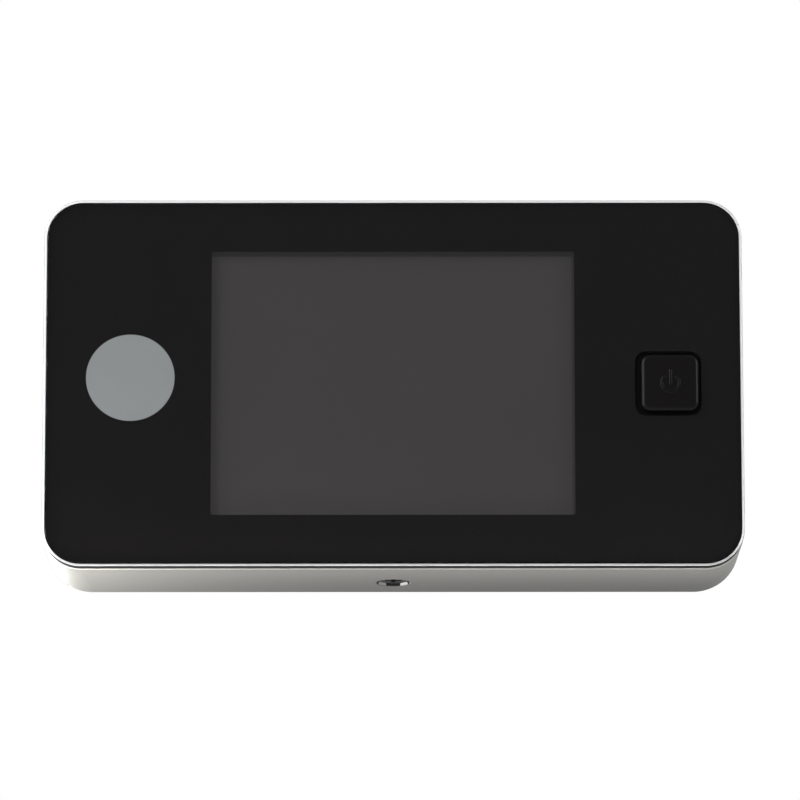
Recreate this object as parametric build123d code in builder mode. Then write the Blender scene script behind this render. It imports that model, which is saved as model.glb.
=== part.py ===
from build123d import *
import os

# Peephole door camera. A screen unit hangs on a steel plate that is stuck to the inner face of a
# door, and a camera barrel is drawn against the outer face through the peephole. Millimetres.
# X runs to the right as seen from the room, Z runs up and Y runs into the door. The origin is on
# the peephole's axis at the door's inner face. A level is a distance in front of that face,
# towards the room, so what is at level d lies at y = -d.

# General values
overrun = 1.0
touch_gap = 0.05

# Battery cells
cell_radius = 7.1
cell_length = 50.5
cell_gap = 0.15
cell_spacing = 0.6
cell_edge = 0.5
nub_radius = 2.7
nub_height = 1.3
contact_space = 2.1
contact_sheet = 0.3
contact_reach = 3.0
contact_margin = 1.2
contact_gap = 0.1
contact_depth_over_cell = 5.9
tail_width = 2.0
tail_gap = 0.3

# Battery covers
door_clearance = 0.3
cover_inset = 0.2
cover_thickness = 1.4
cover_gap = 0.1
cover_ledge = 0.8
cover_pad_thickness = 0.4
cover_pad_margin = 5.0
hinge_drop = 0.25
hinge_pin_radius = 0.6
hinge_pin_gap = 0.05
hinge_pin_length = 0.8
hinge_foot_gap = 0.15
grip_count = 4
grip_pitch = 1.6
grip_width = 0.7
grip_length = 12.0
grip_depth = 0.35
grip_drop = 3.0
scoop_radius = 4.0
scoop_depth = 1.0

# Rear housing
housing_wall = 1.8
rear_wall = 2.7
bay_wall = 1.0
bay_floor = 1.0
side_channel = 1.5
end_strip = 4.95
collar_room = 0.6
fence_room = 0.4
divider = 2.0
pocket_half = 27.6
pocket_corner = 1.5
pocket_floor = 1.2
component_space = 3.1
outer_corner = 7.0
rear_corner_growth = 1.5
front_edge_round = 0.35
rear_edge_round = 0.3
tower_radius = 3.0
tower_inset_x = 5.1
tower_inset_z = 2.0
tower_drop = 0.8
board_tower_radius = 2.0
board_tower_rise = 1.55
board_tower_from_lcd = 5.6

# Front frame and panel
panel_thickness = 1.2
panel_edge = 0.2
panel_proud = 0.3
film_thickness = 0.2
film_inset = 0.3
rim_gap = 0.05
rim_wall = 0.45
lip_height = 0.35
lip_edge = 0.2
groove_depth = 0.1
groove_width = 2.1
frame_floor = 0.9
tongue_gap = 0.1
tongue_wall = 1.2
tongue_depth = 1.9
frame_boss_radius = 1.9
window_width = 66.0
window_height = 49.15
window_x = -0.05
window_z = 0.17
window_corner = 0.3
frame_window_margin = 0.5
fence_wall = 1.0
fence_length = 9.0
fence_depth = 1.8
fence_place_share = 0.68

# Display
lcd_left_border = 5.95
lcd_right_border = 5.65
lcd_upper_border = 1.8
lcd_lower_border = 3.95
lcd_corner = 0.6
glass_thickness = 0.9
tray_thickness = 1.3
tray_ledge = 3.2
lcd_gap = 0.2
lcd_side_gap = 0.15
gasket_thickness = 0.5
gasket_inset = 0.2
flex_width = 22.0
flex_sheet = 0.2
flex_run = 2.5
connector_width = 3.0
connector_height = 1.4
connector_margin = 1.0
connector_latch = 1.0
connector_latch_height = 0.3

# Main board
board_thickness = 1.0
board_gap = 0.6
board_corner = 2.0
board_notch_gap = 0.6
processor_side = 11.0
processor_height = 1.1
memory_width = 7.0
memory_length = 10.0
coil_radius = 2.6
coil_height = 2.3
capacitor_radius = 1.9
capacitor_height = 1.6
small_part_width = 1.6
small_part_length = 3.2
small_part_height = 0.9
socket_width = 13.0
socket_height = 5.0
socket_z = 14.0
socket_gap = 0.1
socket_slot_width = 10.4
socket_slot_height = 1.2
socket_slot_depth = 2.0
socket_window_margin = 1.0

# Push button and its switch
button_z = -0.3
button_hole = 11.8
button_hole_corner = 2.0
button_side_gap = 0.7
button_cap_shift = 0.3
button_corner = 1.6
button_proud = 0.9
button_edge = 0.7
button_flange = 0.8
button_flange_thickness = 0.7
button_stop_gap = 0.1
button_travel = 0.4
collar_gap = 0.4
collar_wall = 1.0
collar_depth = 0.8
switch_side = 6.2
switch_height = 2.2
switch_edge = 0.4
switch_gap = 2.3
switch_bore_floor = 0.6
plunger_radius = 1.7
plunger_gap = 0.07

# Screws
housing_screw_radius = 0.8
housing_screw_gap = 0.05
housing_screw_length = 8.0
housing_head_radius = 1.4
housing_head_height = 1.2
counterbore_gap = 0.1
housing_seat = 4.5
board_screw_radius = 0.8
board_screw_length = 4.5
board_head_radius = 1.5
board_head_height = 0.9
board_hole_gap = 0.2
screw_point = 0.4
recess_width_share = 0.28
recess_length_share = 1.1
recess_depth_share = 0.5

# Lock screw in the lower side
lock_from_floor = 4.7
lock_screw_radius = 1.2
lock_screw_gap = 0.05
lock_head_radius = 2.65
lock_sink_radius = 3.2
lock_hole_radius = 1.4
lock_head_depth = 0.45
lock_head_gap = 0.1
lock_past_tab = 1.2
lock_boss_radius = 4.5
lock_boss_height = 1.0

# Door plate and its hooks
pad_thickness = 0.8
pad_inset = 1.0
pad_hole_margin = 0.7
plate_thickness = 1.2
plate_corner = 3.0
plate_side_gap = 2.4
plate_top_gap = 2.85
plate_hole_radius = 7.3
lift_travel = 5.0
lift_clearance = 0.3
hook_sheet = 1.2
hook_bar = 2.9
hook_finger = 2.0
hook_rise = 4.5
hook_round = 0.6
hang_clearance = 0.1
rib_height = 3.0
rib_back_gap = 0.6
rib_depth = 2.7
rib_front_gap = 0.3
rib_overhang = 1.6
upper_rib_z = 12.0
lower_rib_z = -17.0

# Lock tab on the plate
tab_width = 10.0
tab_sheet = 1.2
tab_rise = 7.0
tab_bend = 0.6
tab_hole_gap = 0.6
tab_past_hole = 3.6
tab_round = 2.0

# Clamp sleeve and camera barrel
sleeve_head_radius = 11.0
sleeve_head_height = 2.2
sleeve_head_edge = 0.4
sleeve_tube_radius = 5.5
sleeve_bore_radius = 4.2
sleeve_reach = 30.0
sleeve_notches = 12
sleeve_notch_radius = 1.3
barrel_start = 12.0
barrel_outside = 42.0
barrel_radius = 7.0
barrel_thread_gap = 0.15
flange_radius = 13.0
flange_height = 3.0
flange_crown = 1.2
flange_edge = 0.5
washer_radius = 12.0
washer_thickness = 0.8
washer_gap = 0.2
lens_mouth_radius = 4.7
lens_shoulder = 2.0
lens_cell_gap = 0.05
lens_cell_length = 5.0
lens_cell_bore = 3.6
lens_radius = 4.5
lens_thickness = 1.6
lens_bulge = 1.5
lens_ring_width = 1.6
lens_ring_height = 0.6
lens_ring_gap = 0.2
sensor_board_thickness = 0.8
sensor_side = 4.6
sensor_height = 0.7

# Battery bays, from the cells outwards
cell_pitch = 2 * cell_radius + cell_spacing
bay_width = 2 * cell_pitch
bay_half_height = cell_length / 2 + contact_space
bay_inner = pocket_half + divider
bay_outer = bay_inner + bay_width
bay_centre = (bay_inner + bay_outer) / 2
block_half_width = bay_outer + bay_wall
block_half_height = bay_half_height + bay_wall
trough_radius = cell_radius + cell_gap

# Display and button, placed from the window
lcd_width = lcd_left_border + window_width + lcd_right_border
lcd_height = lcd_upper_border + window_height + lcd_lower_border
lcd_x = window_x + (lcd_right_border - lcd_left_border) / 2
lcd_z = window_z + (lcd_upper_border - lcd_lower_border) / 2
flex_bend = lcd_x + lcd_width / 2 + lcd_gap
connector_left = flex_bend + flex_run + flex_sheet
button_x = connector_left + connector_width + switch_gap + switch_side / 2
button_opening = button_hole + 2 * (button_flange + collar_gap)
collar_side = button_opening + 2 * collar_wall

# Outline of the unit: room for the cells, and in front of them for the display and the button
tongue_inset = tongue_gap + tongue_wall
display_half_height = lcd_height / 2 - lcd_z + lcd_side_gap + fence_wall + fence_room
collar_reach = button_x + collar_side / 2 + collar_room
inner_width = 2 * max(block_half_width + side_channel, collar_reach + tongue_inset)
inner_height = 2 * max(bay_half_height + end_strip, display_half_height + tongue_inset)
outer_width = inner_width + 2 * housing_wall
outer_height = inner_height + 2 * housing_wall
inner_corner = outer_corner - housing_wall
rim = rim_wall + rim_gap
panel_width = outer_width - 2 * rim
panel_height = outer_height - 2 * rim
panel_corner = outer_corner - rim

# Levels, from the door to the front of the panel
cover_back = door_clearance + cover_inset
cover_front = cover_back + cover_thickness
cover_seat = cover_front + touch_gap
cell_level = cover_front + cover_pad_thickness + cell_gap + cell_radius
board_back = cell_level + trough_radius + bay_floor
board_front = board_back + board_thickness
channel_floor = door_clearance + rear_wall
pocket_floor_front = board_back - component_space
pocket_floor_back = pocket_floor_front - pocket_floor
tower_top = board_back - tower_drop
contact_top = cell_level + contact_depth_over_cell
lcd_back = board_front + lcd_gap
glass_back = lcd_back + tray_thickness
glass_front = glass_back + glass_thickness
floor_back = glass_front + gasket_thickness
floor_front = floor_back + frame_floor
panel_back = floor_front + film_thickness
panel_front = panel_back + panel_thickness
rim_front = panel_front - panel_proud
lip_back = rim_front - lip_height
housing_top = lip_back - groove_width

# Places of the screws, as (x, z)
tower_x = inner_width / 2 - tower_inset_x
tower_z = inner_height / 2 - tower_inset_z
tower_places = [(sx * tower_x, sz * tower_z) for sx in (-1, 1) for sz in (-1, 1)]
board_tower_z = bay_half_height + board_tower_rise
board_tower_x = lcd_width / 2 + board_tower_from_lcd
board_places = [(sx * board_tower_x, sz * board_tower_z) for sx in (-1, 1) for sz in (-1, 1)]
housing_hole_radius = housing_screw_radius + housing_screw_gap
counterbore_radius = housing_head_radius + counterbore_gap
housing_seat_level = tower_top - housing_seat

# Hanging parts
pad_front = pad_thickness
plate_front = pad_front + plate_thickness
plate_half_width = pocket_half - plate_side_gap
plate_top = bay_half_height - plate_top_gap
plate_bottom = lock_boss_height + lift_travel + lift_clearance - inner_height / 2
rib_back = plate_front + rib_back_gap
rib_front = rib_back + rib_depth
finger_back = rib_front + rib_front_gap
hook_front = finger_back + hook_finger
lock_level = pocket_floor_back - lock_from_floor
tab_top = plate_bottom + tab_sheet


def slab(width, height, corner, low, high, x=0, z=0, mode=Mode.ADD):
    """A flat piece with rounded corners between two levels."""
    with BuildSketch(Plane.XZ.offset(low)) as outline:
        with Locations((x, z)):
            RectangleRounded(width, height, corner)
    extrude(outline.sketch, amount=high - low, mode=mode)


def block(width, height, low, high, places=((0, 0),), mode=Mode.ADD):
    """Square-cornered pieces between two levels, one at each (x, z) place."""
    with BuildSketch(Plane.XZ.offset(low)) as outline:
        with Locations(*places):
            Rectangle(width, height)
    extrude(outline.sketch, amount=high - low, mode=mode)


def post(radius, low, high, places=((0, 0),), mode=Mode.ADD):
    """Round posts or holes along Y between two levels, one at each (x, z) place."""
    with BuildSketch(Plane.XZ.offset(low)) as outline:
        with Locations(*places):
            Circle(radius)
    extrude(outline.sketch, amount=high - low, mode=mode)


def cross_recess(head_radius, depth, low, high, places):
    """The cross of two slots in the heads of small screws, cut between two levels."""
    long_side = recess_length_share * head_radius
    short_side = recess_width_share * head_radius
    block(long_side, short_side, low, high, places, Mode.SUBTRACT)
    block(short_side, long_side, low, high, places, Mode.SUBTRACT)


os.makedirs("parts", exist_ok=True)

# Rear housing: one moulding with a pocket for the door plate, two battery bays with round
# troughs, a channel round them, towers for the screws and ribs that hang on the plate.
with BuildPart() as rear_housing:
    with BuildSketch(Plane.XZ.offset(door_clearance)):
        RectangleRounded(outer_width, outer_height, outer_corner + rear_corner_growth)
    with BuildSketch(Plane.XZ.offset(housing_top)):
        RectangleRounded(outer_width, outer_height, outer_corner)
    loft()
    fillet(rear_housing.edges().group_by(Axis.Y)[0], front_edge_round)
    fillet(rear_housing.edges().group_by(Axis.Y)[-1], rear_edge_round)

    # Open front for the frame's tongue and the board
    slab(inner_width, inner_height, inner_corner, board_back, housing_top, mode=Mode.SUBTRACT)

    # Channel between the outer wall and the bays, with the screw towers left standing
    with BuildSketch(Plane.XZ.offset(channel_floor)) as channel:
        RectangleRounded(inner_width, inner_height, inner_corner)
        Rectangle(2 * block_half_width, 2 * block_half_height, mode=Mode.SUBTRACT)
        with Locations((0, -inner_height / 2)):
            Rectangle(2 * bay_inner, inner_height, mode=Mode.SUBTRACT)
        with Locations(*tower_places):
            Circle(tower_radius, mode=Mode.SUBTRACT)
        with Locations(*board_places):
            Circle(board_tower_radius, mode=Mode.SUBTRACT)
    extrude(channel.sketch, amount=board_back - channel_floor, mode=Mode.SUBTRACT)

    # Space for the parts on the back of the board, in front of the pocket's floor
    space_top = block_half_height
    space_bottom = -inner_height / 2
    block(
        2 * pocket_half,
        space_top - space_bottom,
        pocket_floor_front,
        board_back,
        [(0, (space_top + space_bottom) / 2)],
        Mode.SUBTRACT,
    )

    # Pocket that takes the door plate, open to the door
    pocket_top = bay_half_height
    pocket_bottom = -inner_height / 2
    slab(
        2 * pocket_half,
        pocket_top - pocket_bottom,
        pocket_corner,
        door_clearance - overrun,
        pocket_floor_back,
        z=(pocket_top + pocket_bottom) / 2,
        mode=Mode.SUBTRACT,
    )

    # Battery bays: straight sides to the cells' middle, then a round trough over each cell
    for sign in (-1, 1):
        with BuildSketch(Plane.XY.offset(-cell_length / 2)) as bay:
            with Locations((sign * bay_centre, -cell_level)):
                Rectangle(bay_width, cell_level, align=(Align.CENTER, Align.MIN))
            with Locations(
                (sign * bay_centre - cell_pitch / 2, -cell_level),
                (sign * bay_centre + cell_pitch / 2, -cell_level),
            ):
                Circle(trough_radius)
        extrude(bay.sketch, amount=cell_length, mode=Mode.SUBTRACT)
        block(
            bay_width,
            2 * bay_half_height,
            door_clearance - overrun,
            cell_level,
            [(sign * bay_centre, 0)],
            Mode.SUBTRACT,
        )
        contact_z = (bay_half_height + cell_length / 2) / 2
        block(
            bay_width,
            contact_space,
            door_clearance,
            contact_top,
            [(sign * bay_centre, contact_z), (sign * bay_centre, -contact_z)],
            Mode.SUBTRACT,
        )
        # Slots for the tails of the lower contacts
        block(
            tail_width + 2 * tail_gap,
            contact_sheet + tail_gap,
            cell_level,
            board_back + overrun,
            [
                (sign * bay_centre + end * cell_pitch / 2,
                 (contact_sheet + tail_gap) / 2 - bay_half_height)
                for end in (-1, 1)
            ],
            Mode.SUBTRACT,
        )
        # Recess that the cover closes, with a scoop for the finger
        recess_top = bay_half_height + cover_ledge
        hinge_z = -bay_half_height - hinge_drop
        recess_bottom = hinge_z - cover_thickness / 2 - hinge_foot_gap
        block(
            bay_width + 2 * cover_ledge,
            recess_top - recess_bottom,
            door_clearance - overrun,
            cover_seat,
            [(sign * bay_centre, (recess_top + recess_bottom) / 2)],
            Mode.SUBTRACT,
        )
        post(
            scoop_radius,
            door_clearance - overrun,
            door_clearance + scoop_depth,
            [(sign * bay_centre, recess_top)],
            Mode.SUBTRACT,
        )
        # Holes for the cover's hinge pins
        pin_reach = bay_width / 2 + cover_ledge + hinge_pin_length + touch_gap
        with BuildSketch(Plane.YZ.offset(sign * bay_centre - pin_reach)) as pin_hole:
            with Locations((-(cover_back + cover_front) / 2, hinge_z)):
                Circle(hinge_pin_radius + hinge_pin_gap)
        extrude(pin_hole.sketch, amount=2 * pin_reach, mode=Mode.SUBTRACT)

    # Screw holes: through the corner towers from the rear, blind in the board's towers
    post(tower_radius - front_edge_round, tower_top, board_back + overrun, tower_places, Mode.SUBTRACT)
    post(housing_hole_radius, door_clearance, tower_top + overrun, tower_places, Mode.SUBTRACT)
    post(
        counterbore_radius,
        door_clearance - overrun,
        housing_seat_level,
        tower_places,
        Mode.SUBTRACT,
    )
    post(
        board_screw_radius + housing_screw_gap,
        board_front - board_screw_length - screw_point,
        board_back + overrun,
        board_places,
        Mode.SUBTRACT,
    )

    # Window in the pocket's floor for the camera's socket
    slab(
        socket_width + 2 * socket_window_margin,
        socket_height + 2 * socket_window_margin,
        socket_window_margin,
        pocket_floor_back - overrun,
        pocket_floor_front + overrun,
        z=socket_z,
        mode=Mode.SUBTRACT,
    )

    # Four ribs on the pocket's sides, which hang on the plate's hooks
    rib_inner = plate_half_width - rib_overhang
    rib_width = pocket_half - rib_inner
    block(
        rib_width,
        rib_height,
        rib_back,
        rib_front,
        [
            (sx * (rib_inner + rib_width / 2), rib_z + rib_height / 2)
            for sx in (-1, 1)
            for rib_z in (upper_rib_z, lower_rib_z)
        ],
    )

    # Boss and countersunk hole for the lock screw, in the lower wall
    with BuildSketch(Plane.XY.offset(-inner_height / 2)) as lock_boss:
        with Locations((0, -lock_level)):
            Circle(lock_boss_radius)
    extrude(lock_boss.sketch, amount=lock_boss_height)
    sink_depth = lock_sink_radius - lock_hole_radius
    lock_outer_z = -outer_height / 2
    with BuildSketch(Plane.YZ) as lock_hole:
        with BuildLine():
            Polyline(
                (-lock_level, lock_outer_z - overrun),
                (-lock_level + lock_sink_radius, lock_outer_z - overrun),
                (-lock_level + lock_sink_radius, lock_outer_z),
                (-lock_level + lock_hole_radius, lock_outer_z + sink_depth),
                (-lock_level + lock_hole_radius, overrun + lock_boss_height - inner_height / 2),
                (-lock_level, overrun + lock_boss_height - inner_height / 2),
                close=True,
            )
        make_face()
    revolve(lock_hole.sketch, Axis((0, -lock_level, 0), (0, 0, 1)), mode=Mode.SUBTRACT)
rear_housing.part.label = "rear_housing"
export_step(rear_housing.part, "parts/rear_housing.step")

# Front frame: the thin bright rim round the panel, a groove between it and the housing, a
# tongue inside the housing's wall, a floor that carries the panel and bosses for the screws.
with BuildPart() as front_frame:
    slab(outer_width, outer_height, outer_corner, lip_back, rim_front)
    fillet(front_frame.edges().group_by(Axis.Y)[0], lip_edge)
    slab(
        outer_width - 2 * groove_depth,
        outer_height - 2 * groove_depth,
        outer_corner - groove_depth,
        housing_top,
        lip_back,
    )
    slab(
        panel_width + 2 * rim_gap,
        panel_height + 2 * rim_gap,
        panel_corner + rim_gap,
        floor_front,
        rim_front + overrun,
        mode=Mode.SUBTRACT,
    )
    tongue_back = housing_top - tongue_depth
    slab(
        inner_width - 2 * tongue_gap,
        inner_height - 2 * tongue_gap,
        inner_corner - tongue_gap,
        tongue_back,
        housing_top,
    )
    slab(
        inner_width - 2 * tongue_inset,
        inner_height - 2 * tongue_inset,
        inner_corner - tongue_inset,
        tongue_back,
        floor_back,
        mode=Mode.SUBTRACT,
    )
    # Collar that guides the button, and bosses for the housing screws
    slab(
        collar_side,
        collar_side,
        button_hole_corner + collar_wall,
        floor_back - collar_depth,
        floor_back,
        button_x,
        button_z,
    )
    slab(
        button_opening,
        button_opening,
        button_hole_corner,
        floor_back - collar_depth,
        floor_front,
        button_x,
        button_z,
        Mode.SUBTRACT,
    )
    post(frame_boss_radius, tower_top, floor_back, tower_places)
    screw_tip = housing_seat_level + housing_screw_length
    post(housing_hole_radius, tower_top, screw_tip + screw_point, tower_places, Mode.SUBTRACT)
    # Window, with a step in from the printed edge so that the frame stays out of sight
    slab(
        window_width + 2 * frame_window_margin,
        window_height + 2 * frame_window_margin,
        frame_window_margin,
        floor_back,
        floor_front,
        window_x,
        window_z,
        Mode.SUBTRACT,
    )
    # Short fences round the display
    fence_x = lcd_width / 2 + lcd_side_gap + fence_wall / 2
    fence_z = lcd_height / 2 + lcd_side_gap + fence_wall / 2
    fence_back = floor_back - fence_depth
    block(
        fence_wall,
        fence_length,
        fence_back,
        floor_back,
        [
            (lcd_x + sx * fence_x, lcd_z + sz * fence_place_share * lcd_height / 2)
            for sx in (-1, 1)
            for sz in (-1, 1)
        ],
    )
    block(
        fence_length,
        fence_wall,
        fence_back,
        floor_back,
        [
            (lcd_x + sx * fence_place_share * lcd_width / 2, lcd_z + sz * fence_z)
            for sx in (-1, 1)
            for sz in (-1, 1)
        ],
    )
front_frame.part.label = "front_frame"
export_step(front_frame.part, "parts/front_frame.step")

# Black adhesive sheet between the frame's floor and the clear panel, cut out at the window and
# the button
with BuildPart() as panel_film:
    slab(
        panel_width - 2 * film_inset,
        panel_height - 2 * film_inset,
        panel_corner - film_inset,
        floor_front,
        panel_back,
    )
    slab(
        window_width,
        window_height,
        window_corner,
        floor_front,
        panel_back,
        window_x,
        window_z,
        Mode.SUBTRACT,
    )
    slab(
        button_hole,
        button_hole,
        button_hole_corner,
        floor_front,
        panel_back,
        button_x,
        button_z,
        Mode.SUBTRACT,
    )
panel_film.part.label = "panel_film"
export_step(panel_film.part, "parts/panel_film.step")

# Clear gloss panel over the whole front, with a square hole for the button
with BuildPart() as front_panel:
    slab(panel_width, panel_height, panel_corner, panel_back, panel_front)
    slab(
        button_hole,
        button_hole,
        button_hole_corner,
        panel_back,
        panel_front,
        button_x,
        button_z,
        Mode.SUBTRACT,
    )
    fillet(front_panel.edges().group_by(Axis.Y)[0], panel_edge)
front_panel.part.label = "front_panel"
export_step(front_panel.part, "parts/front_panel.step")

# Foam ring between the frame's floor and the display
with BuildPart() as lcd_gasket:
    slab(
        lcd_width - 2 * gasket_inset,
        lcd_height - 2 * gasket_inset,
        lcd_corner,
        glass_front,
        floor_back,
        lcd_x,
        lcd_z,
    )
    gasket_margin = frame_window_margin + lcd_side_gap
    slab(
        window_width + 2 * gasket_margin,
        window_height + 2 * gasket_margin,
        gasket_margin,
        glass_front,
        floor_back,
        window_x,
        window_z,
        Mode.SUBTRACT,
    )
lcd_gasket.part.label = "lcd_gasket"
export_step(lcd_gasket.part, "parts/lcd_gasket.step")

# Display: the glass, and the backlight tray behind it, short on the right for the flex's ledge
with BuildPart() as lcd_glass:
    slab(lcd_width, lcd_height, lcd_corner, glass_back, glass_front, lcd_x, lcd_z)
lcd_glass.part.label = "lcd_glass"
export_step(lcd_glass.part, "parts/lcd_glass.step")

with BuildPart() as lcd_backlight:
    slab(
        lcd_width - tray_ledge,
        lcd_height,
        lcd_corner,
        lcd_back,
        glass_back,
        lcd_x - tray_ledge / 2,
        lcd_z,
    )
lcd_backlight.part.label = "lcd_backlight"
export_step(lcd_backlight.part, "parts/lcd_backlight.step")

# Flex from the glass's ledge down to its connector on the front of the board
flex_start = flex_bend - tray_ledge
flex_entry = board_front + connector_height / 2 + flex_sheet
with BuildPart() as lcd_flex:
    with BuildSketch(Plane.XY.offset(lcd_z - flex_width / 2)) as flex_side:
        with BuildLine():
            Polyline(
                (flex_start, -glass_back),
                (flex_bend, -glass_back),
                (flex_bend + flex_run, -flex_entry),
                (connector_left, -flex_entry),
                (connector_left, flex_sheet - flex_entry),
                (flex_bend + flex_run - flex_sheet, flex_sheet - flex_entry),
                (flex_bend - flex_sheet, flex_sheet - glass_back),
                (flex_start, flex_sheet - glass_back),
                close=True,
            )
        make_face()
    extrude(flex_side.sketch, amount=flex_width)
lcd_flex.part.label = "lcd_flex"
export_step(lcd_flex.part, "parts/lcd_flex.step")

with BuildPart() as flex_connector:
    connector_x = connector_left + connector_width / 2
    connector_length = flex_width + 2 * connector_margin
    block(
        connector_width,
        connector_length,
        board_front,
        board_front + connector_height,
        [(connector_x, lcd_z)],
    )
    block(
        connector_latch,
        flex_width,
        board_front + connector_height,
        board_front + connector_height + connector_latch_height,
        [(connector_x + (connector_width - connector_latch) / 2, lcd_z)],
    )
flex_connector.part.label = "flex_connector"
export_step(flex_connector.part, "parts/flex_connector.step")

# Main board: lies on the floors of the battery bays, notched at the corners for the frame's
# bosses
board_inset = tongue_inset + board_gap
board_width = inner_width - 2 * board_inset
board_height = inner_height - 2 * board_inset
with BuildPart() as main_board:
    slab(board_width, board_height, board_corner, board_back, board_front)
    notch_reach = frame_boss_radius + board_notch_gap
    notch_width = board_width / 2 - tower_x + notch_reach
    notch_height = board_height / 2 - tower_z + notch_reach
    block(
        2 * notch_width,
        2 * notch_height,
        board_back,
        board_front,
        [(sx * board_width / 2, sz * board_height / 2) for sx in (-1, 1) for sz in (-1, 1)],
        Mode.SUBTRACT,
    )
    post(
        board_screw_radius + board_hole_gap, board_back, board_front, board_places, Mode.SUBTRACT
    )
main_board.part.label = "main_board"
export_step(main_board.part, "parts/main_board.step")

# Parts soldered to the board: on its back over the pocket, and on its front beside the display.
# Places are shares of the board's half width and half height.
back_processor_share = (-0.2, -0.25)
back_memory_share = (0.1, -0.25)
back_coil_shares = ((-0.3, 0.45), (-0.3, 0.2), (0.3, -0.55))
front_capacitor_shares = ((-0.88, 0.35), (-0.88, 0.12), (0.88, 0.6))
front_small_shares = ((-0.78, 0.5), (-0.78, 0.3), (-0.78, 0.1), (-0.78, -0.1), (-0.78, -0.3),
                      (0.78, 0.5), (0.82, 0.5), (0.86, -0.5), (0.82, -0.5))


def on_board(share):
    """A place on the board from its shares of the half width and half height."""
    return share[0] * board_width / 2, share[1] * board_height / 2


with BuildPart() as board_components:
    block(
        processor_side,
        processor_side,
        board_back - processor_height,
        board_back,
        [on_board(back_processor_share)],
    )
    block(
        memory_width,
        memory_length,
        board_back - processor_height,
        board_back,
        [on_board(back_memory_share)],
    )
    post(coil_radius, board_back - coil_height, board_back, [on_board(s) for s in back_coil_shares])
    post(
        capacitor_radius,
        board_front,
        board_front + capacitor_height,
        [on_board(s) for s in front_capacitor_shares],
    )
    block(
        small_part_width,
        small_part_length,
        board_front,
        board_front + small_part_height,
        [on_board(s) for s in front_small_shares],
    )
board_components.part.label = "board_components"
export_step(board_components.part, "parts/board_components.step")

# Socket for the camera's lead, on the back of the board behind the window in the pocket's floor
with BuildPart() as camera_socket:
    socket_back = pocket_floor_front + socket_gap
    block(socket_width, socket_height, socket_back, board_back, [(0, socket_z)])
    block(
        socket_slot_width,
        socket_slot_height,
        socket_back,
        socket_back + socket_slot_depth,
        [(0, socket_z)],
        Mode.SUBTRACT,
    )
camera_socket.part.label = "camera_socket"
export_step(camera_socket.part, "parts/camera_socket.step")

# Tact switch on the board, with a well for its plunger
switch_top = board_front + switch_height
with BuildPart() as button_switch:
    slab(
        switch_side,
        switch_side,
        switch_edge,
        board_front,
        switch_top,
        button_x,
        button_z,
    )
    post(
        plunger_radius + plunger_gap,
        board_front + switch_bore_floor,
        switch_top,
        [(button_x, button_z)],
        Mode.SUBTRACT,
    )
button_switch.part.label = "button_switch"
export_step(button_switch.part, "parts/button_switch.step")

# Push button: a square cap that stands proud of the panel, with a flange behind the panel that
# keeps it in
flange_front = floor_front - button_stop_gap
flange_back = flange_front - button_flange_thickness
cap_front = panel_front + button_proud
cap_side = button_hole - 2 * button_side_gap
with BuildPart() as power_button:
    slab(
        cap_side,
        cap_side,
        button_corner,
        flange_front,
        cap_front,
        button_x + button_cap_shift,
        button_z,
    )
    fillet(power_button.edges().group_by(Axis.Y)[0], button_edge)
    slab(
        button_hole + 2 * button_flange,
        button_hole + 2 * button_flange,
        button_hole_corner,
        flange_back,
        flange_front,
        button_x,
        button_z,
    )
power_button.part.label = "power_button"
export_step(power_button.part, "parts/power_button.step")

# Plunger of the switch, which the button rests on and pushes down its well
plunger_foot = board_front + switch_bore_floor + button_travel + button_stop_gap
with BuildPart() as switch_plunger:
    post(plunger_radius, plunger_foot, flange_back, [(button_x, button_z)])
switch_plunger.part.label = "switch_plunger"
export_step(switch_plunger.part, "parts/switch_plunger.step")

# Screws that hold the board on its towers
with BuildPart() as board_screws:
    post(board_head_radius, board_front, board_front + board_head_height, board_places)
    post(board_screw_radius, board_front - board_screw_length, board_front, board_places)
    cross_recess(
        board_head_radius,
        recess_depth_share,
        board_front + board_head_height - recess_depth_share * board_head_height,
        board_front + board_head_height,
        board_places,
    )
board_screws.part.label = "board_screws"
export_step(board_screws.part, "parts/board_screws.step")

# Screws from the rear that pull the frame onto the housing
with BuildPart() as housing_screws:
    post(
        housing_head_radius,
        housing_seat_level - housing_head_height,
        housing_seat_level,
        tower_places,
    )
    post(
        housing_screw_radius,
        housing_seat_level,
        housing_seat_level + housing_screw_length,
        tower_places,
    )
    cross_recess(
        housing_head_radius,
        recess_depth_share,
        housing_seat_level - housing_head_height,
        housing_seat_level - housing_head_height + recess_depth_share * housing_head_height,
        tower_places,
    )
housing_screws.part.label = "housing_screws"
export_step(housing_screws.part, "parts/housing_screws.step")

# Lock screw: goes up through the lower wall into the plate's tab, so the unit can't be lifted
lock_head_z = lock_outer_z + lock_head_depth
lock_cone_z = lock_head_z + lock_head_radius - lock_screw_radius
lock_tip_z = tab_top + lock_past_tab
with BuildPart() as lock_screw:
    with BuildSketch(Plane.YZ) as lock_side:
        with BuildLine():
            Polyline(
                (-lock_level, lock_head_z),
                (-lock_level + lock_head_radius, lock_head_z),
                (-lock_level + lock_screw_radius, lock_cone_z),
                (-lock_level + lock_screw_radius, lock_tip_z - screw_point),
                (-lock_level + lock_screw_radius - screw_point, lock_tip_z),
                (-lock_level, lock_tip_z),
                close=True,
            )
        make_face()
    revolve(lock_side.sketch, Axis((0, -lock_level, 0), (0, 0, 1)))
    lock_recess = recess_length_share * lock_head_radius
    with BuildSketch(Plane.XY.offset(lock_head_z)) as lock_cross:
        with Locations((0, -lock_level)):
            Rectangle(lock_recess, recess_width_share * lock_head_radius)
            Rectangle(recess_width_share * lock_head_radius, lock_recess)
    extrude(lock_cross.sketch, amount=recess_depth_share * lock_head_radius, mode=Mode.SUBTRACT)
lock_screw.part.label = "lock_screw"
export_step(lock_screw.part, "parts/lock_screw.step")

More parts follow.
